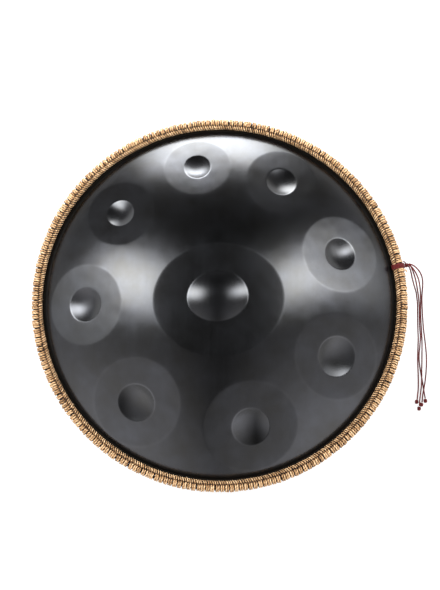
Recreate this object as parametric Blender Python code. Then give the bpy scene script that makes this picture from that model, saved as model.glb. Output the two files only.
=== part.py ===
"""A nine-note handpan: two domed steel shells glued at a cord-bound rim, with a waxed-cord tie.

The drum lies as it is played, its axis along +Z and its ding upwards. It rests on the rounded lip
of the port in the bottom shell. The origin is on the axis, at the height of that lip.
All sizes are in metres.
"""
import math

import bmesh
import bpy
from mathutils import Vector, geometry

# The shells: two spherical domes, with a flat flange round each.
DOME_EDGE_RADIUS = 0.2655
DOME_RISE = 0.105
DOME_RADIUS = (DOME_EDGE_RADIUS ** 2 + DOME_RISE ** 2) / (2 * DOME_RISE)
STEEL = 0.0012
FLANGE_RADIUS = 0.278
FLANGE_FACE = 0.0020  # from the rim's mid plane to a flange's outer face
RIM_FILLET = 0.0025
RIM_SEGMENTS = 48
RIM_HEIGHT = 0.1015  # the rim's mid plane above the resting lip

# The port in the bottom shell: a flat resting lip, a roll inwards and a straight neck.
LIP_OUTER_RADIUS = 0.064
LIP_INNER_RADIUS = 0.060
LIP_BLEND = 0.0022  # from the dome to the flat lip
BOTTOM_DOME_STEPS = 9
PORT_RADIUS = 0.050
NECK_TOP = 0.030

# The adhesive between the flanges.
ADHESIVE_HALF_THICKNESS = 0.0005
ADHESIVE_INNER_RADIUS = 0.2680
ADHESIVE_OUTER_RADIUS = 0.2774

# The notes round the dome: bearing in degrees, distance from the axis, then half the length and
# half the width of the tone field and of its dimple. The length is along the radius.
NOTES = (
    (99.5, 0.2055, 0.0555, 0.0500, 0.0237, 0.0202),
    (139.0, 0.1990, 0.0590, 0.0510, 0.0243, 0.0212),
    (62.5, 0.2030, 0.0635, 0.0530, 0.0267, 0.0232),
    (20.5, 0.1940, 0.0645, 0.0590, 0.0267, 0.0246),
    (-177.5, 0.2024, 0.0643, 0.0600, 0.0285, 0.0255),
    (-26.5, 0.1962, 0.0722, 0.0628, 0.0328, 0.0304),
    (-128.5, 0.2005, 0.0730, 0.0665, 0.0308, 0.0288),
    (-76.5, 0.1985, 0.0738, 0.0708, 0.0312, 0.0284),
)
FIELD_FLATNESS = 0.75  # the share of the dome's bulge that a tone field loses
DIMPLE_SLOPE = 0.22  # a dimple's depth over its mean half width

# The ding: the centre note, whose dome stands up out of a flattened field.
DING_CENTRE = (-0.0015, -0.0073)
DING_HALF_SIZE = (0.0963, 0.0833)
DING_TURN = math.radians(5)
DING_FLATTENING = 0.0080
DING_DOME_CENTRE = (-0.0030, -0.0032)
DING_DOME_HALF_SIZE = (0.0453, 0.0376)
DING_DOME_TURN = math.radians(7)
DING_DOME_HEIGHT = 0.0090

# The rings of points that carry the hammered shapes: scale of the ellipse, number of points.
FIELD_RINGS = ((1.0, 24), (0.72, 16))
DIMPLE_RINGS = ((1.0, 18), (0.55, 8), (0.0, 1))
DING_FIELD_RINGS = ((1.0, 32), (0.74, 20))
DING_DOME_RINGS = ((1.0, 24), (0.66, 14), (0.33, 7), (0.0, 1))
OPEN_SPACING = 0.022  # between the points on the plain dome
OPEN_START = 0.108
OPEN_RING_COUNT = 7
OPEN_SHARE = 1.35  # how far outside a field, as its share, a plain point stays

# The rim binding: filler cords, then outlines of radius and height above the rim's mid plane.
CORE_RADIUS = 0.2759
CORE_HALF_WIDTH = 0.0023
CORE_HEIGHT = 0.00429
WRAP_HALF_SECTION = (
    (0.2794, 0.00645), (0.2727, 0.00645), (0.2727, 0.0088),
    (0.2755, 0.0092), (0.2810, 0.0082), (0.2850, 0.0045),
)
CHAIN_SECTION = (
    (0.2709, 0.0023), (0.2724, 0.0033), (0.2724, 0.0079),
    (0.2709, 0.0089), (0.2694, 0.0079), (0.2694, 0.0033),
)

# The tie: four turns of waxed cord over the binding, a knot, and four tails with an end knot each.
TIE_BEARING = math.radians(11.6)
TIE_CORD_RADIUS = 0.00085
TIE_TURN_PITCH = 0.0019
TIE_PATH_RADIUS = 0.2865
TIE_HALF_SECTION = (
    (0.2675, 0.0040), (0.2675, 0.0078), (0.2687, 0.0100), (0.2715, 0.0108), (0.2760, 0.0108),
    (0.2812, 0.0096), (0.2850, 0.0064), (TIE_PATH_RADIUS, 0.0026),
)
TIE_KNOT_RADIUS = 0.2906
TIE_KNOT_SIZE = (0.0029, 0.0036, 0.0040)
END_KNOT_SIZE = (0.0034, 0.0034, 0.0034)

# Each tail leaves the tie's knot outwards, falls to the floor beside the drum and lies along -Y.
TAIL_ROUTES = (
    (
        (0.2876, 0.0602, 0.1025), (0.2915, 0.0592, 0.1028), (0.2960, 0.0572, 0.1020),
        (0.3010, 0.0534, 0.0994), (0.3060, 0.0480, 0.0946), (0.3092, 0.0424, 0.0892),
        (0.3110, 0.0364, 0.0832), (0.3117, 0.0298, 0.0768), (0.3118, 0.0230, 0.0700),
        (0.3121, 0.0150, 0.0620), (0.3132, 0.0052, 0.0528), (0.3145, -0.0048, 0.0442),
        (0.3162, -0.0175, 0.0348), (0.3184, -0.0320, 0.0254), (0.3213, -0.0483, 0.0166),
        (0.3236, -0.0650, 0.0100), (0.3244, -0.0790, 0.0064), (0.3239, -0.0930, 0.0046),
        (0.3224, -0.1080, 0.0039), (0.3202, -0.1210, 0.0037), (0.3178, -0.1330, 0.0036),
        (0.3167, -0.1433, 0.0037),
    ),
    (
        (0.2880, 0.0580, 0.1025), (0.2914, 0.0562, 0.1026), (0.2948, 0.0526, 0.1016),
        (0.2984, 0.0476, 0.0992), (0.3016, 0.0424, 0.0954), (0.3044, 0.0362, 0.0902),
        (0.3066, 0.0290, 0.0826), (0.3084, 0.0210, 0.0740), (0.3097, 0.0114, 0.0642),
        (0.3108, 0.0004, 0.0536), (0.3120, -0.0122, 0.0430), (0.3138, -0.0266, 0.0328),
        (0.3156, -0.0412, 0.0236), (0.3166, -0.0546, 0.0168), (0.3169, -0.0690, 0.0110),
        (0.3170, -0.0820, 0.0074), (0.3168, -0.0930, 0.0052), (0.3168, -0.1050, 0.0042),
        (0.3162, -0.1170, 0.0034), (0.3148, -0.1280, 0.0034), (0.3134, -0.1370, 0.0046),
        (0.3124, -0.1435, 0.0068), (0.3122, -0.1494, 0.0064),
    ),
    (
        (0.2876, 0.0602, 0.1001), (0.2910, 0.0576, 0.0996), (0.2938, 0.0520, 0.0982),
        (0.2966, 0.0450, 0.0954), (0.2990, 0.0386, 0.0914), (0.3010, 0.0320, 0.0866),
        (0.3029, 0.0250, 0.0806), (0.3050, 0.0178, 0.0734), (0.3072, 0.0084, 0.0640),
        (0.3088, -0.0027, 0.0536), (0.3100, -0.0153, 0.0428), (0.3116, -0.0297, 0.0324),
        (0.3134, -0.0429, 0.0240), (0.3132, -0.0560, 0.0162), (0.3126, -0.0680, 0.0100),
        (0.3130, -0.0785, 0.0056), (0.3144, -0.0885, 0.0026), (0.3162, -0.0990, 0.0013),
        (0.3180, -0.1100, 0.0012), (0.3196, -0.1210, 0.0012), (0.3210, -0.1310, 0.0024),
        (0.3218, -0.1372, 0.0034),
    ),
    (
        (0.2882, 0.0571, 0.1001), (0.2903, 0.0526, 0.0988), (0.2922, 0.0468, 0.0962),
        (0.2940, 0.0400, 0.0920), (0.2964, 0.0330, 0.0870), (0.2988, 0.0270, 0.0818),
        (0.3016, 0.0206, 0.0754), (0.3036, 0.0130, 0.0676), (0.3054, 0.0040, 0.0596),
        (0.3065, -0.0070, 0.0500), (0.3076, -0.0198, 0.0404), (0.3088, -0.0328, 0.0314),
        (0.3100, -0.0460, 0.0232), (0.3102, -0.0593, 0.0162), (0.3102, -0.0730, 0.0106),
        (0.3108, -0.0866, 0.0062), (0.3114, -0.0990, 0.0034), (0.3117, -0.1114, 0.0018),
        (0.3113, -0.1230, 0.0012), (0.3102, -0.1320, 0.0014), (0.3093, -0.1389, 0.0030),
    ),
)
END_KNOTS = (
    (0.3159, -0.1470, 0.0038),
    (0.3122, -0.1532, 0.0038),
    (0.3223, -0.1410, 0.0038),
    (0.3086, -0.1426, 0.0038),
)
TAIL_POINT_SPACING = 0.0048
TURN_POINT_SPACING = 0.0036
ROUTE_STEPS = 24  # fine steps between two points of a route

STEEL_LOOK = ((0.028, 0.028, 0.030), 0.40, 0.80)
ADHESIVE_LOOK = ((0.05, 0.05, 0.05), 0.60, 0.0)
STRAW_LOOK = ((0.62, 0.42, 0.21), 0.85, 0.0)
WAXED_LOOK = ((0.17, 0.045, 0.045), 0.55, 0.0)


def clear_scene():
    """Remove every object."""
    for item in list(bpy.data.objects):
        bpy.data.objects.remove(item, do_unlink=True)


def make_material(name, look):
    """A Principled BSDF material from a colour, a roughness and a metallic value."""
    colour, roughness, metallic = look
    material = bpy.data.materials.new(name)
    material.use_nodes = True
    shader = material.node_tree.nodes["Principled BSDF"]
    shader.inputs["Base Color"].default_value = (*colour, 1.0)
    shader.inputs["Roughness"].default_value = roughness
    shader.inputs["Metallic"].default_value = metallic
    return material


def add_object(name, data, look):
    """Put mesh or curve data into the scene as a named object with its own material."""
    item = bpy.data.objects.new(name, data)
    item.data.materials.append(make_material(name + "_look", look))
    bpy.context.scene.collection.objects.link(item)
    return item


def mesh_object(name, points, faces, look, smooth_degrees=30):
    """A smooth-shaded object from points and faces, with its normals turned outwards."""
    mesh = bpy.data.meshes.new(name)
    mesh.from_pydata(points, [], faces)
    shape = bmesh.new()
    shape.from_mesh(mesh)
    bmesh.ops.recalc_face_normals(shape, faces=shape.faces)
    shape.to_mesh(mesh)
    shape.free()
    mesh.shade_smooth()
    mesh.set_sharp_from_angle(angle=math.radians(smooth_degrees))
    return add_object(name, mesh, look)


def ring_object(name, outline, look):
    """A ring turned round the Z axis from a closed outline of radius and height."""
    count = len(outline)
    points = []
    faces = []
    for step in range(RIM_SEGMENTS):
        angle = 2 * math.pi * step / RIM_SEGMENTS
        points += [(r * math.cos(angle), r * math.sin(angle), z) for r, z in outline]
        here = step * count
        there = (step + 1) % RIM_SEGMENTS * count
        for i in range(count):
            j = (i + 1) % count
            faces.append((here + i, there + i, there + j, here + j))
    return mesh_object(name, points, faces, look)


def arc(centre, radius, start, end, steps):
    """Points along an arc in the radius-height plane, from angle start to angle end in radians."""
    points = []
    for step in range(steps + 1):
        angle = start + (end - start) * step / steps
        points.append((centre[0] + radius * math.cos(angle), centre[1] + radius * math.sin(angle)))
    return points


def offset_path(path, distance):
    """The path moved sideways to its left by a distance, with mitred corners."""
    moved = []
    for i, point in enumerate(path):
        before = Vector(path[max(i - 1, 0)])
        after = Vector(path[min(i + 1, len(path) - 1)])
        here = Vector(point)
        arriving = (here - before).normalized() if i else (after - here).normalized()
        leaving = (after - here).normalized() if i < len(path) - 1 else arriving
        normal_in = Vector((-arriving.y, arriving.x))
        normal_out = Vector((-leaving.y, leaving.x))
        bisector = (normal_in + normal_out).normalized()
        moved.append(tuple(here + bisector * distance / bisector.dot(normal_in)))
    return moved


def fillet_centre():
    """Centre of the fillet between dome and flange, above the flange's outer face."""
    rise = DOME_RISE - DOME_RADIUS - RIM_FILLET
    radius = math.sqrt((DOME_RADIUS + RIM_FILLET) ** 2 - rise ** 2)
    return radius, FLANGE_FACE + RIM_FILLET


def dome_centre_height():
    """Height of the top dome's centre above the rim's mid plane."""
    return FLANGE_FACE + DOME_RISE - DOME_RADIUS


def dome_tangent_radius():
    """Distance from the axis at which the dome meets the rim's fillet."""
    return fillet_centre()[0] * DOME_RADIUS / (DOME_RADIUS + RIM_FILLET)


def rim_path():
    """The outer face of a shell's rim, outwards from the dome: fillet, then flange."""
    centre = fillet_centre()
    start = math.atan2(dome_centre_height() - centre[1], -centre[0])
    path = arc(centre, RIM_FILLET, start, -math.pi / 2, 3)
    path.append((FLANGE_RADIUS, FLANGE_FACE))
    return path


def field_axes(bearing, distance):
    """Outward normal, radial axis and tangential axis of the dome at a bearing and distance."""
    tilt = math.asin(distance / DOME_RADIUS)
    along = Vector((math.cos(bearing), math.sin(bearing), 0))
    normal = along * math.sin(tilt) + Vector((0, 0, math.cos(tilt)))
    radial = along * math.cos(tilt) - Vector((0, 0, math.sin(tilt)))
    return normal, radial, Vector((-along.y, along.x, 0))


class Ellipse:
    """An elliptic patch of the dome, given by its centre's axes and its half sizes."""

    def __init__(self, axes, half_length, half_width):
        self.normal, self.length_axis, self.width_axis = axes
        self.half_length = half_length
        self.half_width = half_width

    def share(self, direction):
        """Squared distance from the centre, as a share of the ellipse's own size."""
        if direction.dot(self.normal) <= 0:
            return math.inf
        along = DOME_RADIUS * direction.dot(self.length_axis) / self.half_length
        across = DOME_RADIUS * direction.dot(self.width_axis) / self.half_width
        return along * along + across * across

    def ring(self, scale, count):
        """Plan positions of a ring of points at a scale of the ellipse."""
        places = []
        for step in range(count):
            angle = 2 * math.pi * step / count
            along = scale * self.half_length * math.cos(angle)
            across = scale * self.half_width * math.sin(angle)
            up = math.sqrt(DOME_RADIUS ** 2 - along ** 2 - across ** 2)
            place = along * self.length_axis + across * self.width_axis + up * self.normal
            places.append(Vector((place.x, place.y)))
        return places


def turned_axes(centre, turn):
    """Axes of a patch near the pole of the dome, turned about its normal."""
    normal = Vector((*centre, math.sqrt(DOME_RADIUS ** 2 - centre[0] ** 2 - centre[1] ** 2)))
    normal.normalize()
    length_axis = Vector((math.cos(turn), math.sin(turn), 0))
    length_axis = (length_axis - normal * length_axis.dot(normal)).normalized()
    return normal, length_axis, normal.cross(length_axis)


def hammered_patches():
    """Every hammered shape of the top dome, as its ellipse, its depth and its rings of points."""
    patches = []
    for bearing, distance, length, width, dimple_length, dimple_width in NOTES:
        axes = field_axes(math.radians(bearing), distance)
        bulge = length * width / (2 * DOME_RADIUS)
        depth = DIMPLE_SLOPE * (dimple_length + dimple_width) / 2
        patches.append((Ellipse(axes, length, width), FIELD_FLATNESS * bulge, FIELD_RINGS))
        patches.append((Ellipse(axes, dimple_length, dimple_width), depth, DIMPLE_RINGS))
    field = Ellipse(turned_axes(DING_CENTRE, DING_TURN), *DING_HALF_SIZE)
    patches.append((field, DING_FLATTENING, DING_FIELD_RINGS))
    dome = Ellipse(turned_axes(DING_DOME_CENTRE, DING_DOME_TURN), *DING_DOME_HALF_SIZE)
    patches.append((dome, -DING_DOME_HEIGHT, DING_DOME_RINGS))
    return patches


def pressed_depth(direction, patches):
    """How far the hammered surface lies inside the plain dome along a direction."""
    return sum(depth * max(0.0, 1 - shape.share(direction)) for shape, depth, _ in patches)


def plan_layout(patches):
    """Plan positions over the top dome, and the edges that the triangles have to keep."""
    places = []
    edges = []

    def add_ring(ring, keep):
        first = len(places)
        places.extend(ring)
        if keep:
            edges.extend((first + i, first + (i + 1) % len(ring)) for i in range(len(ring)))

    rim = dome_tangent_radius()
    bearings = [2 * math.pi * step / RIM_SEGMENTS for step in range(RIM_SEGMENTS)]
    add_ring([Vector((rim * math.cos(a), rim * math.sin(a))) for a in bearings], True)
    for shape, _, rings in patches:
        for scale, count in rings:
            add_ring(shape.ring(scale, count), scale == 1.0)

    for row in range(OPEN_RING_COUNT):
        distance = OPEN_START + row * OPEN_SPACING
        count = round(2 * math.pi * distance / OPEN_SPACING)
        for step in range(count):
            angle = 2 * math.pi * (step + 0.5) / count
            place = Vector((distance * math.cos(angle), distance * math.sin(angle)))
            direction = dome_direction(place)
            if all(shape.share(direction) > OPEN_SHARE for shape, _, _ in patches):
                add_ring([place], False)
    return places, edges


def dome_direction(place):
    """Unit vector from the dome's centre to the plain dome's surface over a plan position."""
    height = math.sqrt(DOME_RADIUS ** 2 - place.length_squared)
    return Vector((place.x, place.y, height)) / DOME_RADIUS


def make_top_shell():
    """The upper shell: the hammered dome as two skins, closed by its rim."""
    patches = hammered_patches()
    places, edges = plan_layout(patches)
    places, _, faces, _, _, _ = geometry.delaunay_2d_cdt(places, edges, [], 1, 1e-7)
    centre = Vector((0, 0, RIM_HEIGHT + dome_centre_height()))
    outer = []
    inner = []
    for place in places:
        direction = dome_direction(place)
        radius = DOME_RADIUS - pressed_depth(direction, patches)
        outer.append(centre + direction * radius)
        inner.append(centre + direction * (radius - STEEL))

    count = len(places)
    points = outer + inner
    skin = [tuple(face) for face in faces]
    skin += [tuple(count + i for i in reversed(face)) for face in faces]

    path = rim_path()
    back = offset_path(path, -STEEL)
    rings = path[1:] + back[:0:-1]
    first = len(points)
    for radius, height in rings:
        for step in range(RIM_SEGMENTS):
            angle = 2 * math.pi * step / RIM_SEGMENTS
            points.append((radius * math.cos(angle), radius * math.sin(angle), RIM_HEIGHT + height))
    loops = [list(range(RIM_SEGMENTS))]
    loops += [[first + row * RIM_SEGMENTS + i for i in range(RIM_SEGMENTS)] for row in range(len(rings))]
    loops.append([count + i for i in range(RIM_SEGMENTS)])
    for here, there in zip(loops, loops[1:]):
        for i in range(RIM_SEGMENTS):
            j = (i + 1) % RIM_SEGMENTS
            skin.append((here[i], there[i], there[j], here[j]))
    return mesh_object("top_shell", points, skin, STEEL_LOOK, 12)


def bottom_path():
    """The outer face of the bottom shell, from its flange's edge to the top of the port's neck."""
    path = [(r, RIM_HEIGHT - z) for r, z in reversed(rim_path())]
    centre = RIM_HEIGHT - dome_centre_height()
    start = math.asin(dome_tangent_radius() / DOME_RADIUS)
    end = math.asin((LIP_OUTER_RADIUS + LIP_BLEND) / DOME_RADIUS)
    for step in range(1, BOTTOM_DOME_STEPS + 1):
        tilt = start + (end - start) * step / BOTTOM_DOME_STEPS
        path.append((DOME_RADIUS * math.sin(tilt), centre - DOME_RADIUS * math.cos(tilt)))
    path += [(LIP_OUTER_RADIUS, 0.0)]
    roll = LIP_INNER_RADIUS - PORT_RADIUS
    path += arc((LIP_INNER_RADIUS, roll), roll, -math.pi / 2, -math.pi, 3)
    path.append((PORT_RADIUS, NECK_TOP))
    return path


def make_bottom_shell():
    """The lower shell: a plain dome with its flange, and a port with an inward neck."""
    path = bottom_path()
    outline = path + offset_path(path, -STEEL)[::-1]
    return ring_object("bottom_shell", outline, STEEL_LOOK)


def make_adhesive():
    """The ring of adhesive that joins the two flanges."""
    low = RIM_HEIGHT - ADHESIVE_HALF_THICKNESS
    high = RIM_HEIGHT + ADHESIVE_HALF_THICKNESS
    outline = [
        (ADHESIVE_INNER_RADIUS, low), (ADHESIVE_OUTER_RADIUS, low),
        (ADHESIVE_OUTER_RADIUS, high), (ADHESIVE_INNER_RADIUS, high),
    ]
    return ring_object("rim_adhesive", outline, ADHESIVE_LOOK)


def make_cores():
    """The filler cords that lie on each flange under the wraps."""
    for name, side in (("rope_core_top", 1), ("rope_core_bottom", -1)):
        centre = (CORE_RADIUS, RIM_HEIGHT + side * CORE_HEIGHT)
        ring_object(name, arc(centre, CORE_HALF_WIDTH, 0, 2 * math.pi, 6)[:-1], STRAW_LOOK)


def make_chains():
    """The rows of stitches along the binding's inner edges, standing on each flange."""
    for name, side in (("rope_chain_top", 1), ("rope_chain_bottom", -1)):
        ring_object(name, [(r, RIM_HEIGHT + side * z) for r, z in CHAIN_SECTION], STRAW_LOOK)


def make_wrap():
    """The wraps that go round the flanges and the cores, as one channel open to the inside."""
    outline = [(r, RIM_HEIGHT + z) for r, z in WRAP_HALF_SECTION]
    outline += [(r, RIM_HEIGHT - z) for r, z in reversed(WRAP_HALF_SECTION)]
    return ring_object("rope_wrap", outline, STRAW_LOOK)


def smooth_points(route, spacing):
    """Points at an even spacing along a smooth curve through the route's points."""
    route = [Vector(point) for point in route]
    ends = [2 * route[0] - route[1]] + route + [2 * route[-1] - route[-2]]
    dense = []
    for before, start, end, after in zip(ends, ends[1:], ends[2:], ends[3:]):
        for step in range(ROUTE_STEPS):
            t = step / ROUTE_STEPS
            dense.append(0.5 * (
                2 * start + (end - before) * t
                + (2 * before - 5 * start + 4 * end - after) * t ** 2
                + (3 * start - before - 3 * end + after) * t ** 3
            ))
    dense.append(route[-1])
    lengths = [0.0]
    for here, there in zip(dense, dense[1:]):
        lengths.append(lengths[-1] + (there - here).length)
    count = max(2, round(lengths[-1] / spacing))
    points = []
    place = 0
    for step in range(count + 1):
        target = lengths[-1] * step / count
        while place < len(dense) - 2 and lengths[place + 1] < target:
            place += 1
        share = (target - lengths[place]) / (lengths[place + 1] - lengths[place])
        points.append(dense[place].lerp(dense[place + 1], share))
    return points


def cord_object(name, points):
    """A round cord along points, with filled ends."""
    curve = bpy.data.curves.new(name, "CURVE")
    curve.dimensions = "3D"
    curve.bevel_depth = TIE_CORD_RADIUS
    curve.bevel_resolution = 2
    curve.use_fill_caps = True
    spline = curve.splines.new("POLY")
    spline.points.add(len(points) - 1)
    for slot, point in zip(spline.points, points):
        slot.co = (*point, 1.0)
    return add_object(name, curve, WAXED_LOOK)


def make_tie_turns():
    """The four turns of waxed cord side by side over the binding."""
    section = TIE_HALF_SECTION + tuple((r, -z) for r, z in reversed(TIE_HALF_SECTION))
    for turn in range(4):
        bearing = TIE_BEARING + (turn - 1.5) * TIE_TURN_PITCH / TIE_PATH_RADIUS
        route = [(r * math.cos(bearing), r * math.sin(bearing), RIM_HEIGHT + z) for r, z in section]
        cord_object("tie_turn_%d" % (turn + 1), smooth_points(route, TURN_POINT_SPACING))


def knot_object(name, centre, half_size, bearing):
    """A small pulled-tight knot: a rounded lump with three lobes round its X axis."""
    shape = bmesh.new()
    bmesh.ops.create_icosphere(shape, subdivisions=2, radius=1.0)
    for corner in shape.verts:
        lobes = 1 - 0.10 * (1 + math.cos(3 * math.atan2(corner.co.z, corner.co.y)))
        corner.co = Vector((
            corner.co.x * half_size[0], corner.co.y * half_size[1] * lobes,
            corner.co.z * half_size[2] * lobes,
        ))
    mesh = bpy.data.meshes.new(name)
    shape.to_mesh(mesh)
    shape.free()
    mesh.shade_smooth()
    item = add_object(name, mesh, WAXED_LOOK)
    item.location = centre
    item.rotation_euler = (0, 0, bearing)
    return item


def make_tassel():
    """The tie's knot at the binding's outer edge, its four tails and their end knots."""
    place = (TIE_KNOT_RADIUS * math.cos(TIE_BEARING), TIE_KNOT_RADIUS * math.sin(TIE_BEARING), RIM_HEIGHT)
    knot_object("tie_knot", place, TIE_KNOT_SIZE, TIE_BEARING)
    for number, (route, knot) in enumerate(zip(TAIL_ROUTES, END_KNOTS), 1):
        cord_object("tail_%d" % number, smooth_points(route, TAIL_POINT_SPACING))
        knot_object("end_knot_%d" % number, knot, END_KNOT_SIZE, -math.pi / 2)


clear_scene()
make_top_shell()
make_bottom_shell()
make_adhesive()
make_cores()
make_chains()
make_wrap()
make_tie_turns()
make_tassel()
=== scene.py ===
"""Looks of a handpan: satin nitrided shells, a knotted straw-cord binding and a waxed-cord tie."""
import math
from typing import NamedTuple

import bmesh
import bpy
import numpy as np
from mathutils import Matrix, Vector, geometry


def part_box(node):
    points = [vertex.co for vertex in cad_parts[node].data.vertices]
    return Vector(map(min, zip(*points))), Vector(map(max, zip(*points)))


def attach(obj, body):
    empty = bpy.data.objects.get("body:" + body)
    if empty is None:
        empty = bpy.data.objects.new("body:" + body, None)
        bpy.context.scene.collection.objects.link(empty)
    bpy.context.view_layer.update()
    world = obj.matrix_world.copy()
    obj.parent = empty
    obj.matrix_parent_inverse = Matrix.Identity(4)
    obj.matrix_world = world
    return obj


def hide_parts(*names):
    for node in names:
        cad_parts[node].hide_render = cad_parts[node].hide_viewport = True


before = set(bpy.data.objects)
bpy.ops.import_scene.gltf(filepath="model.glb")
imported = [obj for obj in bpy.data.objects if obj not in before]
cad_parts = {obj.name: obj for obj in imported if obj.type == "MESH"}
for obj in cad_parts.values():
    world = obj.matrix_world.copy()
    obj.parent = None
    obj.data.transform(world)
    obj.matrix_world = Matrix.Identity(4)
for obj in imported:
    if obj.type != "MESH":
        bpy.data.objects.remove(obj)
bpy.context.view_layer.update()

RANDOM_SEED = 7

# The frame's own measures.
wrap_low, wrap_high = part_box("rope_wrap")
flange_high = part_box("top_shell")[1]
RIM_HEIGHT = (wrap_low.z + wrap_high.z) / 2
FLANGE_RADIUS = flange_high.x

# The shells, with the same dimensions as the CAD.
DOME_EDGE_RADIUS = 0.2655
DOME_RISE = 0.105
DOME_RADIUS = (DOME_EDGE_RADIUS ** 2 + DOME_RISE ** 2) / (2 * DOME_RISE)
STEEL = 0.0012
FLANGE_FACE = 0.0020
RIM_FILLET = 0.0025
DOME_CENTRE = RIM_HEIGHT + FLANGE_FACE + DOME_RISE - DOME_RADIUS
LIP_OUTER_RADIUS = 0.064
LIP_INNER_RADIUS = 0.060
LIP_BLEND = 0.0022
LIP_EDGE_HEIGHT = 0.00003
PORT_RADIUS = 0.050
NECK_TOP = 0.030

# The notes: bearing in degrees, distance from the axis, then half the length and half the width
# of the tone field and of its dimple.
NOTES = (
    (99.5, 0.2055, 0.0555, 0.0500, 0.0237, 0.0202),
    (139.0, 0.1990, 0.0590, 0.0510, 0.0243, 0.0212),
    (62.5, 0.2030, 0.0635, 0.0530, 0.0267, 0.0232),
    (20.5, 0.1940, 0.0645, 0.0590, 0.0267, 0.0246),
    (-177.5, 0.2024, 0.0643, 0.0600, 0.0285, 0.0255),
    (-26.5, 0.1962, 0.0722, 0.0628, 0.0328, 0.0304),
    (-128.5, 0.2005, 0.0730, 0.0665, 0.0308, 0.0288),
    (-76.5, 0.1985, 0.0738, 0.0708, 0.0312, 0.0284),
)
FIELD_FLATNESS = 0.75
DIMPLE_SLOPE = 0.22
DING_CENTRE = (-0.0015, -0.0073)
DING_HALF_SIZE = (0.0963, 0.0833)
DING_TURN = math.radians(5)
DING_FLATTENING = 0.0080
DING_DOME_CENTRE = (-0.0030, -0.0032)
DING_DOME_HALF_SIZE = (0.0453, 0.0376)
DING_DOME_TURN = math.radians(7)
DING_DOME_HEIGHT = 0.0090
FIELD_CREASE = 0.0015
DIMPLE_CREASE = 0.0008
DING_CREASE = 0.0013
DING_DOME_CREASE = 0.0006

# The shells' meshes. The top shell has rings of points round each patch, with the share of the
# patch's size and the spacing of the points, and evenly spaced rings on the open dome.
SHELL_SEGMENTS = 384
FILLET_STEPS = 7
EDGE_STEPS = 6
DOME_STEPS = 46
BLEND_STEPS = 6
LIP_STEPS = 14
NECK_STEPS = 8
INNER_RINGS = 43
HUB_RADIUS = 0.004
DIMPLE_RINGS = (
    (1.14, 0.0026), (1.07, 0.0020), (1.03, 0.0020), (1.00, 0.0020), (0.97, 0.0020),
    (0.93, 0.0020), (0.86, 0.0024), (0.76, 0.0026), (0.64, 0.0028), (0.51, 0.0030),
    (0.38, 0.0032), (0.25, 0.0034), (0.12, 0.0034), (0.0, 1.0),
)
FIELD_RINGS = (
    (1.06, 0.0034), (1.03, 0.0026), (1.012, 0.0026), (0.995, 0.0026), (0.97, 0.0026),
    (0.94, 0.0034), (0.88, 0.0038), (0.81, 0.0040), (0.74, 0.0042), (0.67, 0.0044),
    (0.60, 0.0044), (0.53, 0.0044), (0.46, 0.0044), (0.39, 0.0044),
)
OPEN_SPACING = 0.0050
DIMPLE_CLEARANCE = 1.19
FIELD_CLEARANCE = 1.10
FIELD_TO_RIM = 0.0012
OPEN_TO_RIM = 0.003
TOLERANCE = 1e-7

# The unevenness that the hammer leaves in the dome.
HAMMER_WAVES = 36
HAMMER_WAVELENGTHS = (0.012, 0.045)
HAMMER_HEIGHT = 0.000013
HAMMER_OPEN_SHARE = 0.4
HAMMER_FADE = 0.02

# Worn oxide, as (width, strength), and painted shade on the flange beside the binding.
FIELD_WEAR = (0.0020, 0.12)
DIMPLE_WEAR = (0.0014, 0.30)
LIP_WEAR = (0.004, 0.55)
LIP_WEAR_TOP = 0.006
FLANGE_SHADE_START = 0.2628
FLANGE_SHADE_FADE = 0.0016

# The binding: hitches round the rim, each with two legs, and two stitches at each inner edge.
# A line is in radius and height above the rim's mid plane. A jitter of three is sideways,
# outwards and upwards. The groove lies between the stitches and the legs' outer part.
HITCHES = 246
LEG_RADIUS = 0.00150
LEG_LINE = (
    (0.2727, 0.0042), (0.2727, 0.0056), (0.2733, 0.0064), (0.2746, 0.0067), (0.2762, 0.0076),
    (0.2782, 0.0080), (0.2806, 0.0074), (0.2827, 0.0055), (0.2839, 0.0028),
)
LEG_STEPS = 30
LEG_PIECES = 4
LEG_GAP = 0.00010
LEG_CLOSING = 0.00012
LEG_SLANT = 0.00045
LEG_JITTER = (0.00014, 0.00018, 0.00016)
LEG_SWELL = 0.00022
LEG_SWELL_HEIGHT = 0.020
LEG_THICKNESS_JITTER = 0.06
LEG_TONE_JITTER = 0.22
GROOVE_RADIUS = 0.2746
GROOVE_PINCH = 0.22
GROOVE_WIDTH = 0.0020
GROOVE_SHADE = 0.72
GROOVE_SHADE_WIDTH = 0.0014
BEARING_JITTER = 0.05
STITCH_RADIUS = 0.00112
STITCH_LINE = (
    (0.2696, 0.0032), (0.2693, 0.0052), (0.2697, 0.0071), (0.2708, 0.0084), (0.2723, 0.0086),
    (0.2736, 0.0081), (0.2744, 0.0070),
)
STITCH_STEPS = 9
STITCH_SLANT = 0.0046
STITCH_JITTER = (0.00010, 0.00014, 0.00014)
STITCH_THICKNESS_JITTER = 0.05
STITCH_TONE_JITTER = 0.25
STITCH_TAPER = 0.25
STITCH_SHADE = 0.55
STITCH_SHADE_START = STITCH_LINE[3][0] + 0.0018
STITCH_SHADE_WIDTH = 0.0012
CORE_RADIUS = 0.2759
CORE_HALF_WIDTH = 0.0021
CORE_HEIGHT = 0.00429
EDGE_CORE_RADIUS = 0.2805
EDGE_CORE_HALF_WIDTH = 0.0023
CORE_STEPS = 720
CORE_SHADE = 0.62
CORE_TONE = 0.3

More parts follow.
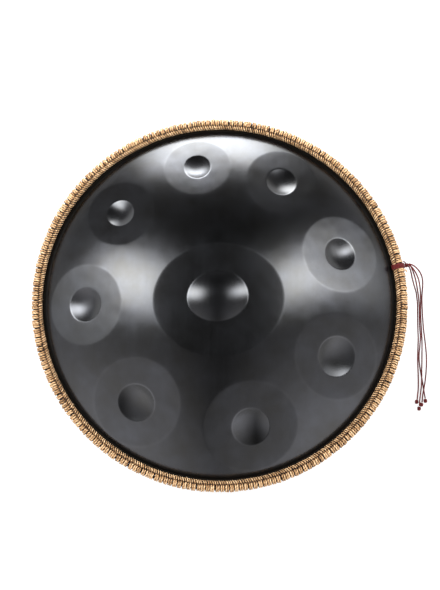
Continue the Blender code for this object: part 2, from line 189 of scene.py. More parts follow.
# The tie. The seen radii are a little larger than the CAD's.
TIE_BEARING = math.radians(11.6)
TIE_CORD_RADIUS = 0.00085
TIE_SEEN_RADIUS = 1.08 * TIE_CORD_RADIUS
TAIL_SEEN_RADIUS = 1.26 * TIE_CORD_RADIUS
TIE_TURNS = 4
TIE_TURN_PITCH = 0.0019
TIE_PATH_RADIUS = 0.2865
TIE_HALF_SECTION = (
    (0.2675, 0.0040), (0.2675, 0.0078), (0.2687, 0.0100), (0.2715, 0.0108), (0.2760, 0.0108),
    (0.2812, 0.0096), (0.2850, 0.0064), (TIE_PATH_RADIUS, 0.0026),
)
TAIL_ROUTES = (
    (
        (0.2876, 0.0602, 0.1025), (0.2915, 0.0592, 0.1028), (0.2960, 0.0572, 0.1020),
        (0.3010, 0.0534, 0.0994), (0.3060, 0.0480, 0.0946), (0.3092, 0.0424, 0.0892),
        (0.3110, 0.0364, 0.0832), (0.3117, 0.0298, 0.0768), (0.3118, 0.0230, 0.0700),
        (0.3121, 0.0150, 0.0620), (0.3132, 0.0052, 0.0528), (0.3145, -0.0048, 0.0442),
        (0.3162, -0.0175, 0.0348), (0.3184, -0.0320, 0.0254), (0.3213, -0.0483, 0.0166),
        (0.3236, -0.0650, 0.0100), (0.3244, -0.0790, 0.0064), (0.3239, -0.0930, 0.0046),
        (0.3224, -0.1080, 0.0039), (0.3202, -0.1210, 0.0037), (0.3178, -0.1330, 0.0036),
        (0.3167, -0.1433, 0.0037),
    ),
    (
        (0.2880, 0.0580, 0.1025), (0.2914, 0.0562, 0.1026), (0.2948, 0.0526, 0.1016),
        (0.2984, 0.0476, 0.0992), (0.3016, 0.0424, 0.0954), (0.3044, 0.0362, 0.0902),
        (0.3066, 0.0290, 0.0826), (0.3084, 0.0210, 0.0740), (0.3097, 0.0114, 0.0642),
        (0.3108, 0.0004, 0.0536), (0.3120, -0.0122, 0.0430), (0.3138, -0.0266, 0.0328),
        (0.3156, -0.0412, 0.0236), (0.3166, -0.0546, 0.0168), (0.3169, -0.0690, 0.0110),
        (0.3170, -0.0820, 0.0074), (0.3168, -0.0930, 0.0052), (0.3168, -0.1050, 0.0042),
        (0.3162, -0.1170, 0.0034), (0.3148, -0.1280, 0.0034), (0.3134, -0.1370, 0.0046),
        (0.3124, -0.1435, 0.0068), (0.3122, -0.1494, 0.0064),
    ),
    (
        (0.2876, 0.0602, 0.1001), (0.2910, 0.0576, 0.0996), (0.2938, 0.0520, 0.0982),
        (0.2966, 0.0450, 0.0954), (0.2990, 0.0386, 0.0914), (0.3010, 0.0320, 0.0866),
        (0.3029, 0.0250, 0.0806), (0.3050, 0.0178, 0.0734), (0.3072, 0.0084, 0.0640),
        (0.3088, -0.0027, 0.0536), (0.3100, -0.0153, 0.0428), (0.3116, -0.0297, 0.0324),
        (0.3134, -0.0429, 0.0240), (0.3132, -0.0560, 0.0162), (0.3126, -0.0680, 0.0100),
        (0.3130, -0.0785, 0.0056), (0.3144, -0.0885, 0.0026), (0.3162, -0.0990, 0.0013),
        (0.3180, -0.1100, 0.0012), (0.3196, -0.1210, 0.0012), (0.3210, -0.1310, 0.0024),
        (0.3218, -0.1372, 0.0034),
    ),
    (
        (0.2882, 0.0571, 0.1001), (0.2903, 0.0526, 0.0988), (0.2922, 0.0468, 0.0962),
        (0.2940, 0.0400, 0.0920), (0.2964, 0.0330, 0.0870), (0.2988, 0.0270, 0.0818),
        (0.3016, 0.0206, 0.0754), (0.3036, 0.0130, 0.0676), (0.3054, 0.0040, 0.0596),
        (0.3065, -0.0070, 0.0500), (0.3076, -0.0198, 0.0404), (0.3088, -0.0328, 0.0314),
        (0.3100, -0.0460, 0.0232), (0.3102, -0.0593, 0.0162), (0.3102, -0.0730, 0.0106),
        (0.3108, -0.0866, 0.0062), (0.3114, -0.0990, 0.0034), (0.3117, -0.1114, 0.0018),
        (0.3113, -0.1230, 0.0012), (0.3102, -0.1320, 0.0014), (0.3093, -0.1389, 0.0030),
    ),
)
TAIL_LENGTHS = (0.2484, 0.2472, 0.2342, 0.2293)
TAIL_STEPS = 380
TAIL_END_SPAN = 8
WAXED_TONE = 0.5
TIE_STEPS = 90
KNOT_STEPS = 220
KNOT_WINDS = 5
KNOT_ROUNDS = 2
KNOT_DISTANCE = 0.60
KNOT_DEPTH = 0.40
KNOT_LENGTH = 0.95

# The two cut ends beside the tie's knot, as (distance from the axis, along the rim, height).
WAXED_END_ROUTE = (
    (0.2880, 0.0008, 0.0020), (0.2890, 0.0028, 0.0034), (0.2880, 0.0048, 0.0042),
    (0.2862, 0.0062, 0.0046),
)
ROPE_END_ROUTE = (
    (0.2765, -0.0052, 0.0078), (0.2800, -0.0062, 0.0088), (0.2845, -0.0070, 0.0074),
    (0.2876, -0.0084, 0.0052), (0.2880, -0.0108, 0.0036),
)
WAXED_END_STEPS = 24
ROPE_END_STEPS = 30
ROPE_END_TAPER = (0.90, 0.54)
ROPE_END_TONE = 0.4

rng = np.random.default_rng(RANDOM_SEED)


# ---------------------------------------------------------------- camera, floor and lights

CAMERA_ELEVATION = math.radians(82)
CAMERA_DISTANCE = 2.5
CAMERA_TARGET = Vector((0.00046, 0.01249, RIM_HEIGHT))
CAMERA_LENS = 100.39
LIGHT_COLOUR = (0.95, 0.975, 1.0)

# The studio's brightness: levels that fade along a direction, as (from, to, level at each).
WORLD_RISE = (0.05, 0.85, 0.68, 0.06)
WORLD_BEHIND = (0.10, 0.70, 1.0, 0.45)
WORLD_LOW_SIDES = 3.4
WORLD_COLOUR = (0.98, 0.98, 1.02, 1)
FLOOR_HALF_SIZE = 8.0
FLOOR_HEIGHT = -0.0003
FLOOR_COLOUR = (0.30, 0.30, 0.30, 1)
FLOOR_GLOW = 0.86


class Panel(NamedTuple):
    """A soft light that faces the drum.

    across and back are its direction in degrees away from straight up, and edge is the share of
    its width and height over which it fades.
    """

    name: str
    across: float
    back: float
    distance: float
    size: tuple
    radiance: float
    edge: float


# Two soft boxes beside the camera, two weak lights near the horizon and a low panel behind.
LIGHTS = (
    Panel("softbox_left", -42.5, 15.5, 2.2, (1.36, 2.36), 16.8, 0.42),
    Panel("softbox_right", 40.5, 17.5, 2.2, (1.20, 2.66), 15.3, 0.46),
    Panel("fill_right", 71, 22, 2.2, (1.30, 1.40), 2.8, 0.35),
    Panel("fill_left", -68, 8, 2.2, (1.30, 1.50), 1.4, 0.35),
    Panel("back_panel", -4, 89, 0.95, (1.06, 0.56), 20.5, 0.36),
)


def make_camera():
    """The photograph's viewpoint: nearly straight down on the drum, from a distance."""
    data = bpy.data.cameras.new("camera")
    data.lens = CAMERA_LENS
    data.sensor_width = 36.0
    data.sensor_fit = "AUTO"
    data.clip_end = 60.0
    camera = bpy.data.objects.new("camera", data)
    back = Vector((0, -math.cos(CAMERA_ELEVATION), math.sin(CAMERA_ELEVATION)))
    camera.location = CAMERA_TARGET + CAMERA_DISTANCE * back
    camera.rotation_euler = back.to_track_quat("Z", "Y").to_euler()
    bpy.context.scene.collection.objects.link(camera)
    bpy.context.scene.camera = camera


def soften_edges(data, edge):
    """Fade a light towards its edges, over a share of its width and height."""
    data.use_nodes = True
    tree = data.node_tree
    place = add_node(tree, "NewGeometry").outputs["Parametric"]
    split = add_node(tree, "SeparateXYZ", Vector=place)
    level = 1.0
    for across in (split.outputs["X"], split.outputs["Y"]):
        side = maths(tree, "ABSOLUTE", maths(tree, "SUBTRACT", across, 0.5))
        level = maths(tree, "MULTIPLY", smooth_step(tree, side, 0.5 - edge, 0.5, 1.0, 0.0), level)
    tree.links.new(level, tree.nodes["Emission"].inputs["Strength"])


def make_light(panel):
    """A rectangular light that faces the drum."""
    tilt = math.radians(math.hypot(panel.across, panel.back))
    bearing = math.atan2(panel.back, panel.across)
    towards = Vector((
        math.sin(tilt) * math.cos(bearing), math.sin(tilt) * math.sin(bearing), math.cos(tilt),
    ))
    data = bpy.data.lights.new(panel.name, "AREA")
    data.shape = "RECTANGLE"
    data.size, data.size_y = panel.size
    data.energy = panel.radiance * math.pi * panel.size[0] * panel.size[1]
    data.color = LIGHT_COLOUR
    soften_edges(data, panel.edge)
    lamp = bpy.data.objects.new(panel.name, data)
    lamp.location = Vector((0, 0, RIM_HEIGHT)) + towards * panel.distance
    lamp.rotation_euler = towards.to_track_quat("Z", "Y").to_euler()
    lamp.visible_camera = False
    bpy.context.scene.collection.objects.link(lamp)


def feed(tree, slot, value):
    """Link another node's socket to a node's input, or set the input to a value."""
    if isinstance(value, bpy.types.NodeSocket):
        tree.links.new(value, slot)
    else:
        slot.default_value = value


def set_inputs(tree, node, **inputs):
    """Link or set a node's inputs, whose names have underscores here for their spaces."""
    for name, value in inputs.items():
        feed(tree, node.inputs[name.replace("_", " ")], value)
    return node


def add_node(tree, kind, **inputs):
    """A new shader node with its inputs."""
    return set_inputs(tree, tree.nodes.new("ShaderNode" + kind), **inputs)


def smooth_step(tree, value, low, high, low_out, high_out):
    """A smooth Map Range node from a socket."""
    step = add_node(
        tree, "MapRange", Value=value, From_Min=low, From_Max=high, To_Min=low_out, To_Max=high_out,
    )
    step.interpolation_type = "SMOOTHSTEP"
    return step.outputs["Result"]


def maths(tree, operation, first, second=0.0, clamp=False):
    """A Math node's result. Its inputs are sockets or numbers."""
    node = add_node(tree, "Math")
    node.operation = operation
    node.use_clamp = clamp
    for slot, value in zip(node.inputs, (first, second)):
        feed(tree, slot, value)
    return node.outputs[0]


def make_world():
    """A dim studio, darkest overhead where the camera stands, behind a white backdrop."""
    world = bpy.data.worlds.new("studio")
    bpy.context.scene.world = world
    world.use_nodes = True
    tree = world.node_tree
    tree.nodes.clear()
    split = add_node(tree, "SeparateXYZ", Vector=add_node(tree, "TexCoord").outputs["Generated"])
    dim = smooth_step(tree, split.outputs["Z"], *WORLD_RISE)
    behind = smooth_step(tree, split.outputs["Y"], *WORLD_BEHIND)
    level = maths(tree, "MULTIPLY", dim, behind)
    sideways = maths(tree, "ABSOLUTE", split.outputs["X"])
    forward = maths(tree, "MULTIPLY", split.outputs["Y"], -1.0)
    forward = maths(tree, "MAXIMUM", forward, 0.0)
    low_sides = maths(tree, "MULTIPLY", sideways, forward)
    level = weighted_sum(tree, level, (low_sides, WORLD_LOW_SIDES))
    dark = add_node(tree, "Background", Color=WORLD_COLOUR, Strength=level)
    white = add_node(tree, "Background", Strength=1.0)
    mix = add_node(tree, "MixShader", Fac=add_node(tree, "LightPath").outputs["Is Camera Ray"])
    tree.links.new(dark.outputs[0], mix.inputs[1])
    tree.links.new(white.outputs[0], mix.inputs[2])
    add_node(tree, "OutputWorld", Surface=mix.outputs[0])


def make_floor():
    """A white floor that glows a little, so that the drum's shadow on it stays faint."""
    half = FLOOR_HALF_SIZE
    mesh = bpy.data.meshes.new("floor")
    corners = [(-half, -half, 0), (half, -half, 0), (half, half, 0), (-half, half, 0)]
    mesh.from_pydata(corners, [], [(0, 1, 2, 3)])
    floor = bpy.data.objects.new("floor", mesh)
    floor.location.z = FLOOR_HEIGHT
    bpy.context.scene.collection.objects.link(floor)
    material, tree, shader = new_material("floor_white", roughness=0.9, specular=0.0)
    white = (1, 1, 1, 1)
    set_inputs(
        tree, shader, Base_Color=FLOOR_COLOUR, Emission_Color=white, Emission_Strength=FLOOR_GLOW,
    )
    mesh.materials.append(material)


# ---------------------------------------------------------------- materials

def new_material(name, roughness=0.5, metallic=0.0, specular=0.5):
    """An empty procedural material: its node tree and its shader."""
    material = bpy.data.materials.new(name)
    material.use_nodes = True
    tree = material.node_tree
    shader = tree.nodes["Principled BSDF"]
    set_inputs(tree, shader, Roughness=roughness, Metallic=metallic, Specular_IOR_Level=specular)
    return material, tree, shader


def weighted_sum(tree, base, *parts):
    """A base plus every socket times its weight."""
    total = base
    for value, weight in parts:
        total = maths(tree, "ADD", maths(tree, "MULTIPLY", value, weight), total)
    return total


def attribute(tree, name, output="Fac"):
    """A mesh attribute's socket."""
    node = add_node(tree, "Attribute")
    node.attribute_name = name
    return node.outputs[output]


def scaled(tree, vector, scale):
    """A vector socket times a scale for each axis."""
    return add_node(tree, "Mapping", Vector=vector, Scale=scale).outputs["Vector"]


def noise(tree, vector, scale, detail=2.0, rough=0.5):
    """A noise texture's value over a vector."""
    node = add_node(tree, "TexNoise", Vector=vector, Scale=scale, Detail=detail, Roughness=rough)
    return node.outputs["Fac"]


def ramp(tree, value, stops):
    """A colour ramp over a value, from (position, colour) stops."""
    node = add_node(tree, "ValToRGB", Fac=value)
    band = node.color_ramp
    while len(band.elements) < len(stops):
        band.elements.new(0.5)
    for element, (position, colour) in zip(band.elements, stops):
        element.position = position
        element.color = (*colour, 1.0)
    return node.outputs["Color"]


def mixed(tree, share, first, second):
    """A mix of two colours, with the share of the second one."""
    node = add_node(tree, "Mix")
    node.data_type = "RGBA"
    for slot, value in ((0, share), (6, first), (7, second)):
        feed(tree, node.inputs[slot], value)
    return node.outputs[2]


def bump(tree, shader, heights):
    """A chain of bumps from (height socket, strength, distance in metres)."""
    chain = {}
    for height, strength, distance in heights:
        node = add_node(tree, "Bump", Height=height, Strength=strength, Distance=distance, **chain)
        chain = {"Normal": node.outputs["Normal"]}
    set_inputs(tree, shader, **chain)


def steel_material():
    """Nitrided steel: a dark satin oxide with faint brushing, clouding, worn creases and painted
    shade by the binding.
    """
    material, tree, shader = new_material("nitrided_steel", roughness=0.28, metallic=1.0)
    place = add_node(tree, "TexCoord").outputs["Object"]
    cloud = noise(tree, place, 17.0, 5.0, 0.62)
    fine = noise(tree, place, 900.0, 2.0)
    brushed = noise(tree, scaled(tree, place, (330.0, 7.0, 7.0)), 1.0, 3.0, 0.6)
    tint = ramp(tree, cloud, (
        (0.30, (0.044, 0.043, 0.041)), (0.50, (0.050, 0.050, 0.051)), (0.72, (0.059, 0.060, 0.064)),
    ))
    worn = maths(tree, "MULTIPLY", attribute(tree, "wear"), noise(tree, place, 70.0, 3.0, 0.65))
    worn = maths(tree, "MULTIPLY", worn, 1.1, clamp=True)
    flange_shade = attribute(tree, "flange_shade")
    colour = mixed(tree, worn, tint, (0.125, 0.125, 0.130, 1))
    # Painted shade: the flange beside the binding is darkened to near black where the rope shades
    # it, and the same mask makes it rougher.
    colour = mixed(tree, flange_shade, colour, (0.013, 0.011, 0.009, 1))
    rough = weighted_sum(tree, 0.165, (cloud, 0.10), (brushed, 0.05), (worn, -0.04), (flange_shade, 0.40))
    set_inputs(tree, shader, Base_Color=colour, Roughness=rough)
    bump(tree, shader, ((brushed, 0.02, 0.00004), (fine, 0.03, 0.00004)))
    return material


def straw_material(name, light, middle, dark):
    """Twisted straw cord: fibres that follow the strand, painted shade in the hollows and uneven
    colour.
    """
    material, tree, shader = new_material(name, roughness=0.62, specular=0.25)
    fibre = attribute(tree, "fibre", "Vector")
    tone = attribute(tree, "tone")
    painted_shade = attribute(tree, "painted_shade")
    threads = noise(tree, scaled(tree, fibre, (2600.0, 2600.0, 260.0)), 1.0, 3.0, 0.6)
    flecks = noise(tree, scaled(tree, fibre, (700.0, 700.0, 420.0)), 1.0, 2.0)
    # Painted shade is taken off the hollows, so that they reach the dark colour.
    shade = weighted_sum(tree, 0.0, (threads, 0.55), (tone, 0.36), (flecks, 0.34), (painted_shade, -0.80))
    colour = ramp(tree, shade, ((0.04, dark), (0.34, middle), (0.62, light)))
    set_inputs(tree, shader, Base_Color=colour, Sheen_Weight=0.15, Sheen_Roughness=0.4)
    bump(tree, shader, ((threads, 0.6, 0.00035), (flecks, 0.35, 0.0004)))
    return material


def waxed_material():
    """Burgundy waxed cord: tight plies with a waxy sheen, paler rubbed spots and a little painted
    shade in the ply grooves.
    """
    material, tree, shader = new_material("waxed_cord_burgundy", roughness=0.46, specular=0.25)
    fibre = attribute(tree, "fibre", "Vector")
    threads = noise(tree, scaled(tree, fibre, (3200.0, 3200.0, 300.0)), 1.0, 3.0, 0.6)
    # A little painted shade in the ply grooves.
    shade = weighted_sum(tree, 0.0, (threads, 1.0), (attribute(tree, "painted_shade"), -0.25))
    colour = ramp(tree, shade, (
        (0.15, (0.026, 0.002, 0.003)), (0.50, (0.130, 0.011, 0.010)), (0.80, (0.250, 0.042, 0.034)),
    ))
    set_inputs(tree, shader, Base_Color=colour)
    bump(tree, shader, ((threads, 0.45, 0.0002),))
    return material


def adhesive_material():
    """Cured black adhesive with a slightly uneven skin."""
    material, tree, shader = new_material("cured_adhesive")
    place = add_node(tree, "TexCoord").outputs["Object"]
    lumps = noise(tree, place, 240.0, 3.0)
    colour = ramp(tree, lumps, ((0.3, (0.020, 0.020, 0.021)), (0.7, (0.048, 0.047, 0.046))))
    set_inputs(tree, shader, Base_Color=colour)
    bump(tree, shader, ((lumps, 0.4, 0.0006),))
    return material


# ---------------------------------------------------------------- mesh helpers

def add_piece(mesh, material, replaced):
    """Link a finished mesh as a piece that rides on the drum and stands for a CAD node."""
    piece = bpy.data.objects.new(mesh.name, mesh)
    mesh.materials.append(material)
    bpy.context.scene.collection.objects.link(piece)
    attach(piece, "root")
    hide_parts(replaced)
    return piece


def mesh_from_arrays(name, points, quads, others=()):
    """A smooth mesh from an array of points, an array of quads and a list of other faces."""
    mesh = bpy.data.meshes.new(name)
    faces = [tuple(face) for face in np.asarray(quads).tolist()] + [tuple(face) for face in others]
    mesh.from_pydata(np.asarray(points).tolist(), [], faces)
    mesh.validate()
    mesh.shade_smooth()
    return mesh


def set_attribute(mesh, name, values):
    """A float or vector value for each point of a mesh."""
    values = np.asarray(values, np.float32)
    if values.ndim == 1:
        mesh.attributes.new(name, "FLOAT", "POINT").data.foreach_set("value", values)
    else:
        mesh.attributes.new(name, "FLOAT_VECTOR", "POINT").data.foreach_set("vector", values.ravel())


CURVE_STEPS = 24


def smooth_line(points, count):
    """Evenly spaced points along a smooth curve through a few points of any dimension."""
    points = np.asarray(points, float)
    ends = np.vstack([2 * points[0] - points[1], points, 2 * points[-1] - points[-2]])
    t = np.linspace(0, 1, CURVE_STEPS, endpoint=False)[:, None]
    dense = []
    for before, start, end, after in zip(ends, ends[1:], ends[2:], ends[3:]):
        dense.append(0.5 * (
            2 * start + (end - before) * t + (2 * before - 5 * start + 4 * end - after) * t ** 2
            + (3 * start - before - 3 * end + after) * t ** 3
        ))
    dense = np.vstack(dense + [points[-1:]])
    lengths = np.concatenate([[0], np.cumsum(np.linalg.norm(np.diff(dense, axis=0), axis=1))])
    wanted = np.linspace(0, lengths[-1], count)
    return np.stack([np.interp(wanted, lengths, column) for column in dense.T], axis=1)


def unit(vectors):
    """Vectors of length one."""
    return vectors / np.linalg.norm(vectors, axis=-1, keepdims=True)


class Lay(NamedTuple):
    """How a cord is made: sides of its mesh, number of plies, their depth and length of a turn."""

    sides: int
    plies: int
    depth: float
    turn: float


# Painted shade on a strand: in the grooves between its plies and on the side that faces what it
# covers.
PLY_SHADE = 0.35
COVERED_SHADE = 0.95
COVERED_REACH = 1.10
COVERED_FALLOFF = 1.6
FIBRE_OFFSET = 0.37

LEG_LAY = Lay(8, 2, 0.12, 0.0105)
STITCH_LAY = Lay(8, 2, 0.10, 0.0090)
CORE_LAY = Lay(12, 3, 0.08, 0.018)
WAXED_LAY = Lay(10, 3, 0.07, 0.0052)


def sweep_strands(paths, sideways, radii, lay, phases, facing=0, sunk=0.0, closed=False):
    """Tubes along many paths at once, with plies that wind round them.

    paths is (strands, steps, 3), sideways a rough crosswise direction at each step, and radii the
    radius at each step. facing is 1 or -1 where one side of the strands faces what they cover, and
    sunk is the painted shade of each step for how deep it lies. The result holds the points,
    the quads and the end caps, then each point's place in the untwisted cord and its painted shade,
    darker in the grooves between the plies, on the covered side and where the step lies sunk.
    """
    strands, steps, _ = paths.shape
    if closed:
        along = np.roll(paths, -1, axis=1) - np.roll(paths, 1, axis=1)
    else:
        along = np.gradient(paths, axis=1)
    along = unit(along)
    normal = unit(np.cross(sideways, along))
    across = np.cross(along, normal)
    gaps = np.linalg.norm(np.diff(paths, axis=1), axis=2)
    run = np.concatenate([np.zeros((strands, 1)), np.cumsum(gaps, axis=1)], axis=1)
    turn = 2 * math.pi * np.arange(lay.sides) / lay.sides
    wind = 2 * math.pi * run / lay.turn + phases[:, None]
    ply_angle = turn[None, None, :] - wind[:, :, None]
    groove = 0.5 - 0.5 * np.cos(lay.plies * ply_angle)
    size = radii[..., None] * (1 + lay.depth * (1 - 2 * groove))
    points = (
        paths[:, :, None, :]
        + (size * np.cos(turn))[..., None] * normal[:, :, None, :]
        + (size * np.sin(turn))[..., None] * across[:, :, None, :]
    )
    offset = FIBRE_OFFSET * np.arange(strands)
    fibre = np.stack([
        size * np.cos(ply_angle), size * np.sin(ply_angle),
        np.broadcast_to(run[:, :, None] + offset[:, None, None], size.shape),
    ], axis=-1)
    covered = np.zeros(lay.sides)
    if facing:
        covered = np.clip(COVERED_REACH + facing * np.cos(turn), 0, 1) ** COVERED_FALLOFF
    above = (1 - np.broadcast_to(sunk, (steps,)))[:, None]
    # Painted shade: darker in the ply grooves, on the covered side and where the step lies sunk.
    painted_shade = 1 - (1 - PLY_SHADE * groove) * (1 - COVERED_SHADE * covered) * above

    index = np.arange(strands * steps * lay.sides).reshape(strands, steps, lay.sides)
    here = index if closed else index[:, :-1]
    there = np.roll(index, -1, axis=1) if closed else index[:, 1:]
    quads = np.stack([
        here, np.roll(here, -1, axis=2), np.roll(there, -1, axis=2), there,
    ], axis=-1).reshape(-1, 4)
    caps = []
    if not closed:
        caps = index[:, 0, ::-1].tolist() + index[:, -1, :].tolist()
    return points.reshape(-1, 3), quads, caps, fibre.reshape(-1, 3), painted_shade.ravel()


def strand_mesh(name, swept, tones):
    """A mesh of swept strands with the attributes that the cord materials read."""
    points, quads, caps, fibre, painted_shade = swept
    mesh = mesh_from_arrays(name, points, quads, caps)
    set_attribute(mesh, "fibre", fibre)
    set_attribute(mesh, "painted_shade", painted_shade)
    set_attribute(mesh, "tone", np.repeat(tones, len(points) // len(tones)))
    return mesh


def single_strand(name, path, sideways, radii, lay, tone, **options):
    """A mesh of one strand along a path, with one radius or a radius for each step."""
    radii = np.broadcast_to(radii, len(path))
    swept = sweep_strands(path[None], sideways[None], radii[None], lay, np.zeros(1), **options)
    return strand_mesh(name, swept, np.array([tone]))


# ---------------------------------------------------------------- the shells

class Patch:
    """An elliptic hammered patch of the top dome, with a depth and a rounded crease."""

    def __init__(self, axes, half_size, depth, crease):
        self.normal, self.length_axis, self.width_axis = (np.array(axis) for axis in axes)
        self.half_size = half_size
        self.mean = sum(half_size) / 2
        self.depth = depth
        self.crease = crease

    def share(self, directions):
        """Squared distance from the centre, as a share of the patch's size."""
        along = DOME_RADIUS * directions @ self.length_axis / self.half_size[0]
        across = DOME_RADIUS * directions @ self.width_axis / self.half_size[1]
        share = along ** 2 + across ** 2
        return np.where(directions @ self.normal > 0, share, 1e6)

    def depths(self, directions):
        """Depth of the patch along each direction, with its crease rounded."""
        inside = 1 - self.share(directions)
        blend = 2 * self.crease / self.mean
        return self.depth * 0.5 * (inside + np.sqrt(inside ** 2 + blend ** 2))

    def ring(self, scale, spacing):
        """Plan positions of points round the patch at a scale of its size."""
        count = max(1, round(2 * math.pi * self.mean * scale / spacing))
        along, across = (scale * np.array(self.half_size) * circle(count)).T
        up = np.sqrt(DOME_RADIUS ** 2 - along ** 2 - across ** 2)
        place = (
            along[:, None] * self.length_axis + across[:, None] * self.width_axis
            + up[:, None] * self.normal
        )
        return place[:, :2]


def field_axes(bearing, distance):
    """Outward normal, radial axis and tangential axis of the dome at a bearing and distance."""
    tilt = math.asin(distance / DOME_RADIUS)
    along = Vector((math.cos(bearing), math.sin(bearing), 0))
    normal = along * math.sin(tilt) + Vector((0, 0, math.cos(tilt)))
    radial = along * math.cos(tilt) - Vector((0, 0, math.sin(tilt)))
    return normal, radial, Vector((-along.y, along.x, 0))


def turned_axes(centre, turn):
    """Axes of a patch near the pole of the dome, turned about its normal."""
    normal = Vector((*centre, math.sqrt(DOME_RADIUS ** 2 - centre[0] ** 2 - centre[1] ** 2)))
    normal.normalize()
    length_axis = Vector((math.cos(turn), math.sin(turn), 0))
    length_axis = (length_axis - normal * length_axis.dot(normal)).normalized()
    return normal, length_axis, normal.cross(length_axis)


def hammered_patches():
    """The tone fields, the dimples, the ding's field and the ding's dome."""
    fields = []
    dimples = []
    for bearing, distance, length, width, dimple_length, dimple_width in NOTES:
        axes = field_axes(math.radians(bearing), distance)
        bulge = length * width / (2 * DOME_RADIUS)
        depth = DIMPLE_SLOPE * (dimple_length + dimple_width) / 2
        fields.append(Patch(axes, (length, width), FIELD_FLATNESS * bulge, FIELD_CREASE))
        dimples.append(Patch(axes, (dimple_length, dimple_width), depth, DIMPLE_CREASE))
    axes = turned_axes(DING_CENTRE, DING_TURN)
    fields.append(Patch(axes, DING_HALF_SIZE, DING_FLATTENING, DING_CREASE))
    axes = turned_axes(DING_DOME_CENTRE, DING_DOME_TURN)
    dimples.append(Patch(axes, DING_DOME_HALF_SIZE, -DING_DOME_HEIGHT, DING_DOME_CREASE))
    return fields, dimples


def dome_directions(places):
    """Unit vectors from the dome's centre to the plain dome over plan positions."""
    height = np.sqrt(DOME_RADIUS ** 2 - (places ** 2).sum(axis=1))
    return np.column_stack([places, height]) / DOME_RADIUS


def make_waves():
    """Wave vectors, phases and heights of the faint unevenness that hammering leaves."""
    length = rng.uniform(*HAMMER_WAVELENGTHS, HAMMER_WAVES)
    bearing = rng.uniform(0, 2 * math.pi, HAMMER_WAVES)
    vectors = 2 * math.pi / length * np.stack([np.cos(bearing), np.sin(bearing)])
    heights = HAMMER_HEIGHT * length / HAMMER_WAVELENGTHS[1]
    return vectors, rng.uniform(0, 2 * math.pi, HAMMER_WAVES), heights


def hammer_marks(directions, patches, waves):
    """Faint uneven height of the dome, strongest in the tone fields, which were worked most."""
    vectors, phases, heights = waves
    marks = np.sin(DOME_RADIUS * directions[:, :2] @ vectors + phases) @ heights
    nearest = np.sqrt(np.min([patch.share(directions) for patch in patches[:len(NOTES)]], axis=0))
    worked = np.exp(-np.maximum(nearest - 1, 0) ** 2 / HAMMER_FADE)
    return marks * (HAMMER_OPEN_SHARE + (1 - HAMMER_OPEN_SHARE) * worked)


def hammered_points(directions, patches, waves, inset=0.0):
    """Points of the hammered dome along directions."""
    depth = sum(patch.depths(directions) for patch in patches)
    depth = depth + hammer_marks(directions, patches, waves)
    points = directions * (DOME_RADIUS - depth - inset)[:, None]
    points[:, 2] += DOME_CENTRE
    return points


def hammered_normals(directions, patches, waves):
    """Exact normals of the hammered dome, from small steps along it."""
    step = 4e-5
    first = unit(np.cross(directions, (0.0, 1.0, 0.0)))
    second = np.cross(directions, first)

    def moved(shift):
        return hammered_points(unit(directions + shift), patches, waves)

    slope_a = moved(step * first) - moved(-step * first)
    slope_b = moved(step * second) - moved(-step * second)
    normals = unit(np.cross(slope_a, slope_b))
    return normals * np.sign((normals * directions).sum(axis=1))[:, None]


def fillet_centre():
    """Radius and height above the rim's mid plane of the centre of the fillet."""
    rise = DOME_RISE - DOME_RADIUS - RIM_FILLET
    return math.sqrt((DOME_RADIUS + RIM_FILLET) ** 2 - rise ** 2), FLANGE_FACE + RIM_FILLET


def dome_rim():
    """Radius at which a dome meets its fillet."""
    return fillet_centre()[0] * DOME_RADIUS / (DOME_RADIUS + RIM_FILLET)


def circle(count, shift=0.0):
    """Evenly spaced points of the unit circle. The shift is a share of their spacing."""
    turn = 2 * math.pi * (np.arange(count) + shift) / count
    return np.column_stack([np.cos(turn), np.sin(turn)])


def arc(centre, radius, start, end, steps):
    """Points along an arc in the radius-height plane, with angles in radians."""
    turn = np.linspace(start, end, steps + 1)
    return np.column_stack([centre[0] + radius * np.cos(turn), centre[1] + radius * np.sin(turn)])


def rim_profile():
    """Both faces of a flange in radius and height: out along the outer one, back along the inner."""
    centre = fillet_centre()
    start = math.atan2(DOME_CENTRE - RIM_HEIGHT - centre[1], -centre[0])
    outer = arc(centre, RIM_FILLET, start, -math.pi / 2, FILLET_STEPS)[1:]
    edge = STEEL / 2
    nose_centre = (FLANGE_RADIUS - edge, FLANGE_FACE - edge)
    nose = arc(nose_centre, edge, math.pi / 2, -math.pi / 2, EDGE_STEPS)
    inner = arc(centre, RIM_FILLET + STEEL, -math.pi / 2, start, FILLET_STEPS)
    return np.vstack([outer, nose, inner])


def ring_points(profile):
    """Points of rings round the axis, one ring for each (radius, height)."""
    turned = circle(SHELL_SEGMENTS)
    heights = np.ones(SHELL_SEGMENTS)
    return np.vstack([
        np.column_stack([radius * turned, height * heights]) for radius, height in profile
    ])


def ring_quads(first, rows, closed_rows=False):
    """Quads between successive rings of points that start at an index."""
    index = first + np.arange(rows * SHELL_SEGMENTS).reshape(rows, -1)
    here = index if closed_rows else index[:-1]
    there = np.roll(index, -1, axis=0) if closed_rows else index[1:]
    quads = np.stack([here, there, np.roll(there, -1, axis=1), np.roll(here, -1, axis=1)], -1)
    return quads.reshape(-1, 4)


